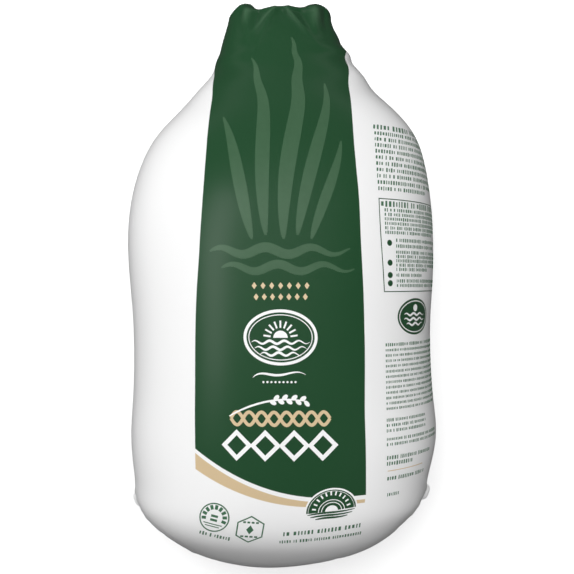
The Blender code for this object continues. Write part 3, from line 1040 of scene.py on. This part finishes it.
round_mark = [rim(ROUND_HALF_WIDTH, ROUND_HALF_HEIGHT, FINE_LINE), *rays(*ROUND_MARK_RAYS)]
round_mark.extend(bar(*sizes) for sizes in ROUND_MARK_BARS)
front_marks = placed(round_mark, ROUND_MARK, ROUND_MARK_TILT)
inner_hexagon = HEXAGON * (1 - FINE_LINE / SIX_SIDED_REACH)
six_sided = [band(polygon(HEXAGON, 4), polygon(inner_hexagon, 4))]
six_sided.append(lozenge(LOZENGE_HALF_WIDTH, LOZENGE_HALF_HEIGHT))
for half_length, height, pitch in SHORT_BARS:
    for k in range(SHORT_BARS_IN_ROW):
        short = bar(half_length, height, SHORT_BAR_WIDTH)
        six_sided.extend(placed([short], ((k - (SHORT_BARS_IN_ROW - 1) / 2) * pitch, 0.0)))
front_marks.extend(placed(six_sided, SIX_SIDED_MARK, SIX_SIDED_TILT))
# Each block's first left end, rows, width, last row's width, pitch, lean for each row, height and
# tilt.
FRONT_ROWS = (
    block((-41.0, 33.2), 1, 18.0, 18.0, 1, 0, 2.3, -9.5),
    block((3.0, 34.3), 1, 42.0, 42.0, 1, 0, 2.8, 3.9),
    block((1.6, 29.5), 1, 43.8, 43.8, 1, 0, 1.9, 3.3),
)
small_print_ink = ink("small print ink", SMALL_PRINT_GREEN)
printed("front_marks", front_marks, small_print_ink)
printed("front_rows", [], small_print_ink, FRONT_ROWS)

# The side print
# Small green print on the right side of the film: a headed column, a column in a fine frame, a
# green oval, and more columns under it with a fine tan rule, down to the sealed end.
# Each block's first left end, rows, width, last row's width, pitch, lean for each row and height.
SIDE_ROWS = (
    block((47.9, 245.6), 1, 62, 62, 1, 0, 3.3),
    block((48.7, 241.9), 10, 62, 40, 3.42, 0.38, 2.3),
    block((53.9, 203.1), 1, 68, 68, 1, 0, 3.2),
    block((56.0, 199.9), 6, 64, 44, 2.35, 0.08, 1.9),
    block((63.3, 184.2), 2, 58, 40, 3.0, 0.0, 2.0),
    block((63.2, 178.0), 5, 58, 28, 2.25, 0.0, 1.9),
    block((63.2, 166.0), 1, 22, 22, 1, 0, 1.9),
    block((63.4, 163.0), 2, 56, 48, 2.4, 0, 1.9),
    block((55.8, 130.0), 1, 54, 54, 1, 0, 1.8),
    block((55.8, 127.2), 12, 56, 48, 2.74, -0.03, 1.5),
    block((55.3, 91.2), 3, 32, 32, 2.75, -0.1, 1.75),
    block((55.1, 81.3), 2, 46, 48, 2.7, 0, 1.7),
    block((55.5, 71.6), 2, 38, 18, 3.1, 0.1, 2.2),
    block((56.7, 60.5), 1, 30, 30, 1, 0, 2.2),
    block((57.6, 51.8), 1, 8, 8, 1, 0, 2.0),
)
FRAME_CORNERS = np.array(((52.3, 206.0), (127.0, 205.4), (127.0, 157.6), (54.9, 157.2)))
FRAME_LINE = 0.5
frame_middle = FRAME_CORNERS.mean(axis=0)
frame_inside = FRAME_CORNERS - FRAME_LINE * np.sign(FRAME_CORNERS - frame_middle)
SIDE_DOTS = (182.7, 172.4, 166.0, 161.8)  # distances of the plain dots inside the frame
SIDE_DOTS_ACROSS, SIDE_DOT_RADIUS = 59.0, 1.6
SIDE_OVAL, SIDE_OVAL_HALF_WIDTH, SIDE_OVAL_HALF_HEIGHT = (78.6, 144.2), 14.6, 9.7
SIDE_OVAL_INSET, SIDE_OVAL_RIM = 1.2, 0.5
SIDE_WAVES = ((1.2, 9.6), (-1.4, 9.8), (-4.0, 7.8))  # height, half length
SIDE_WAVE_SWING, SIDE_WAVE_LENGTH, SIDE_WAVE_WIDTH, SIDE_WAVE_STEPS = 0.6, 6.4, 1.2, 30
SIDE_SUN_HEIGHT, SIDE_SUN_RADIUS = 4.6, 1.9
RULE, RULE_WIDTH = ((56.5, 64.6), (84.0, 64.9)), 0.45
side_marks = [band(polygon(FRAME_CORNERS, 32), polygon(frame_inside, 32))]
for distance_up in SIDE_DOTS:
    dot = disc(SIDE_DOT_RADIUS, SIDE_DOT_RADIUS, cells=4)
    side_marks.extend(placed([dot], (SIDE_DOTS_ACROSS, distance_up)))
side_marks.extend(placed([disc(SIDE_OVAL_HALF_WIDTH, SIDE_OVAL_HALF_HEIGHT, 0, 14)], SIDE_OVAL))
printed("side_print", side_marks, dark_green_ink)
printed("side_rows", [], small_print_ink, SIDE_ROWS)
inner_oval = (SIDE_OVAL_HALF_WIDTH - SIDE_OVAL_INSET, SIDE_OVAL_HALF_HEIGHT - SIDE_OVAL_INSET)
oval_white = [rim(*inner_oval, SIDE_OVAL_RIM, 1)]
for height, half_length in SIDE_WAVES:
    path = wave(-half_length, half_length, height, SIDE_WAVE_SWING, SIDE_WAVE_LENGTH, SIDE_WAVE_STEPS)
    oval_white.append(stroke(path, tapered(SIDE_WAVE_WIDTH, SIDE_WAVE_STEPS), 1))
oval_white.extend(placed([disc(SIDE_SUN_RADIUS, SIDE_SUN_RADIUS, 1, 4)], (0.0, SIDE_SUN_HEIGHT)))
printed("side_oval_print", placed(oval_white, SIDE_OVAL), white_ink)
rule = stroke(curved(RULE, 14), RULE_WIDTH, cells=1)
printed("side_rule", [rule], tan_ink)

# The floor
# A plain pale sheet under the pack. It glows faintly, as a lit studio table does, and neither the
# film's shade nor its gloss takes anything from it.
FLOOR_REACH, FLOOR_COLOUR, FLOOR_ROUGHNESS, FLOOR_GLOW = 3.0, (0.93, 0.93, 0.93, 1), 0.9, 0.3
floor_turns = ((-1, -1), (1, -1), (1, 1), (-1, 1))
floor_corners = [(x * FLOOR_REACH, y * FLOOR_REACH, 0) for x, y in floor_turns]
floor_mesh = bpy.data.meshes.new("floor")
floor_mesh.from_pydata(floor_corners, [], [(0, 1, 2, 3)])
floor = bpy.data.objects.new("floor", floor_mesh)
bpy.context.scene.collection.objects.link(floor)
floor_finish, _, floor_shader = finish("pale floor")
floor_shader.inputs["Base Color"].default_value = FLOOR_COLOUR
floor_shader.inputs["Roughness"].default_value = FLOOR_ROUGHNESS
floor_shader.inputs["Emission Color"].default_value = (1, 1, 1, 1)
floor_shader.inputs["Emission Strength"].default_value = FLOOR_GLOW
floor_mesh.materials.append(floor_finish)
floor.visible_diffuse = False
floor.visible_glossy = False

# The light and the camera
# A narrow softbox at the upper left for the film's sheen, a broad one above, small ones low at the
# left and at the lower right, and a wide low one beyond the crown for the gloss of its folds. The
# camera looks straight down from a little under half a metre, at the photo's scale.
ROOM_BRIGHTNESS = 0.055
world = bpy.data.worlds.new("studio")
world.use_nodes = True
world.node_tree.nodes["Background"].inputs["Color"].default_value = (1, 1, 1, 1)
world.node_tree.nodes["Background"].inputs["Strength"].default_value = ROOM_BRIGHTNESS
bpy.context.scene.world = world


def softbox(name, place, size, power):
    """A rectangular light at its place in metres, turned to the pack, with its power in watts."""
    light = bpy.data.lights.new(name, "AREA")
    light.shape = "RECTANGLE"
    light.size, light.size_y = size
    light.energy = power
    lamp = bpy.data.objects.new(name, light)
    lamp.location = place
    lamp.rotation_euler = Vector(place).to_track_quat("Z", "Y").to_euler()
    bpy.context.scene.collection.objects.link(lamp)
    return lamp


softbox("key", (-0.66, 0.22, 1.03), (0.95, 0.26), 1.4)
fills = (
    softbox("top", (-0.06, 0.5, 1.42), (1.4, 1.2), 24.5),
    softbox("lower right", (0.8, -0.45, 1.0), (0.5, 0.5), 2.6),
    softbox("left", (-1.3, 0.28, 0.08), (1.2, 0.2), 10.0),
)
for fill in fills:
    fill.visible_glossy = False
beyond = softbox("beyond", (0.0, 1.25, 0.3), (3.0, 0.16), 0.7)
beyond.visible_diffuse = False

PIXEL, PICTURE_WIDTH = 0.585 * MM, 574
CAMERA_HEIGHT, SENSOR_WIDTH = 0.45, 36.0
CAMERA_OVER = (3.80, 159.83)  # across, and from the sealed tip
lens = bpy.data.cameras.new("camera")
lens.sensor_width = SENSOR_WIDTH
lens.lens = SENSOR_WIDTH * CAMERA_HEIGHT / (PICTURE_WIDTH * PIXEL)
camera = bpy.data.objects.new("camera", lens)
over = (np.array(CAMERA_OVER) - pack_middle[:2]) * MM
camera.location = (over[0], over[1], WIDEST_LINE_HEIGHT * MM + CAMERA_HEIGHT)
bpy.context.scene.collection.objects.link(camera)
bpy.context.scene.camera = camera
bpy.context.scene.view_settings.view_transform = "Standard"
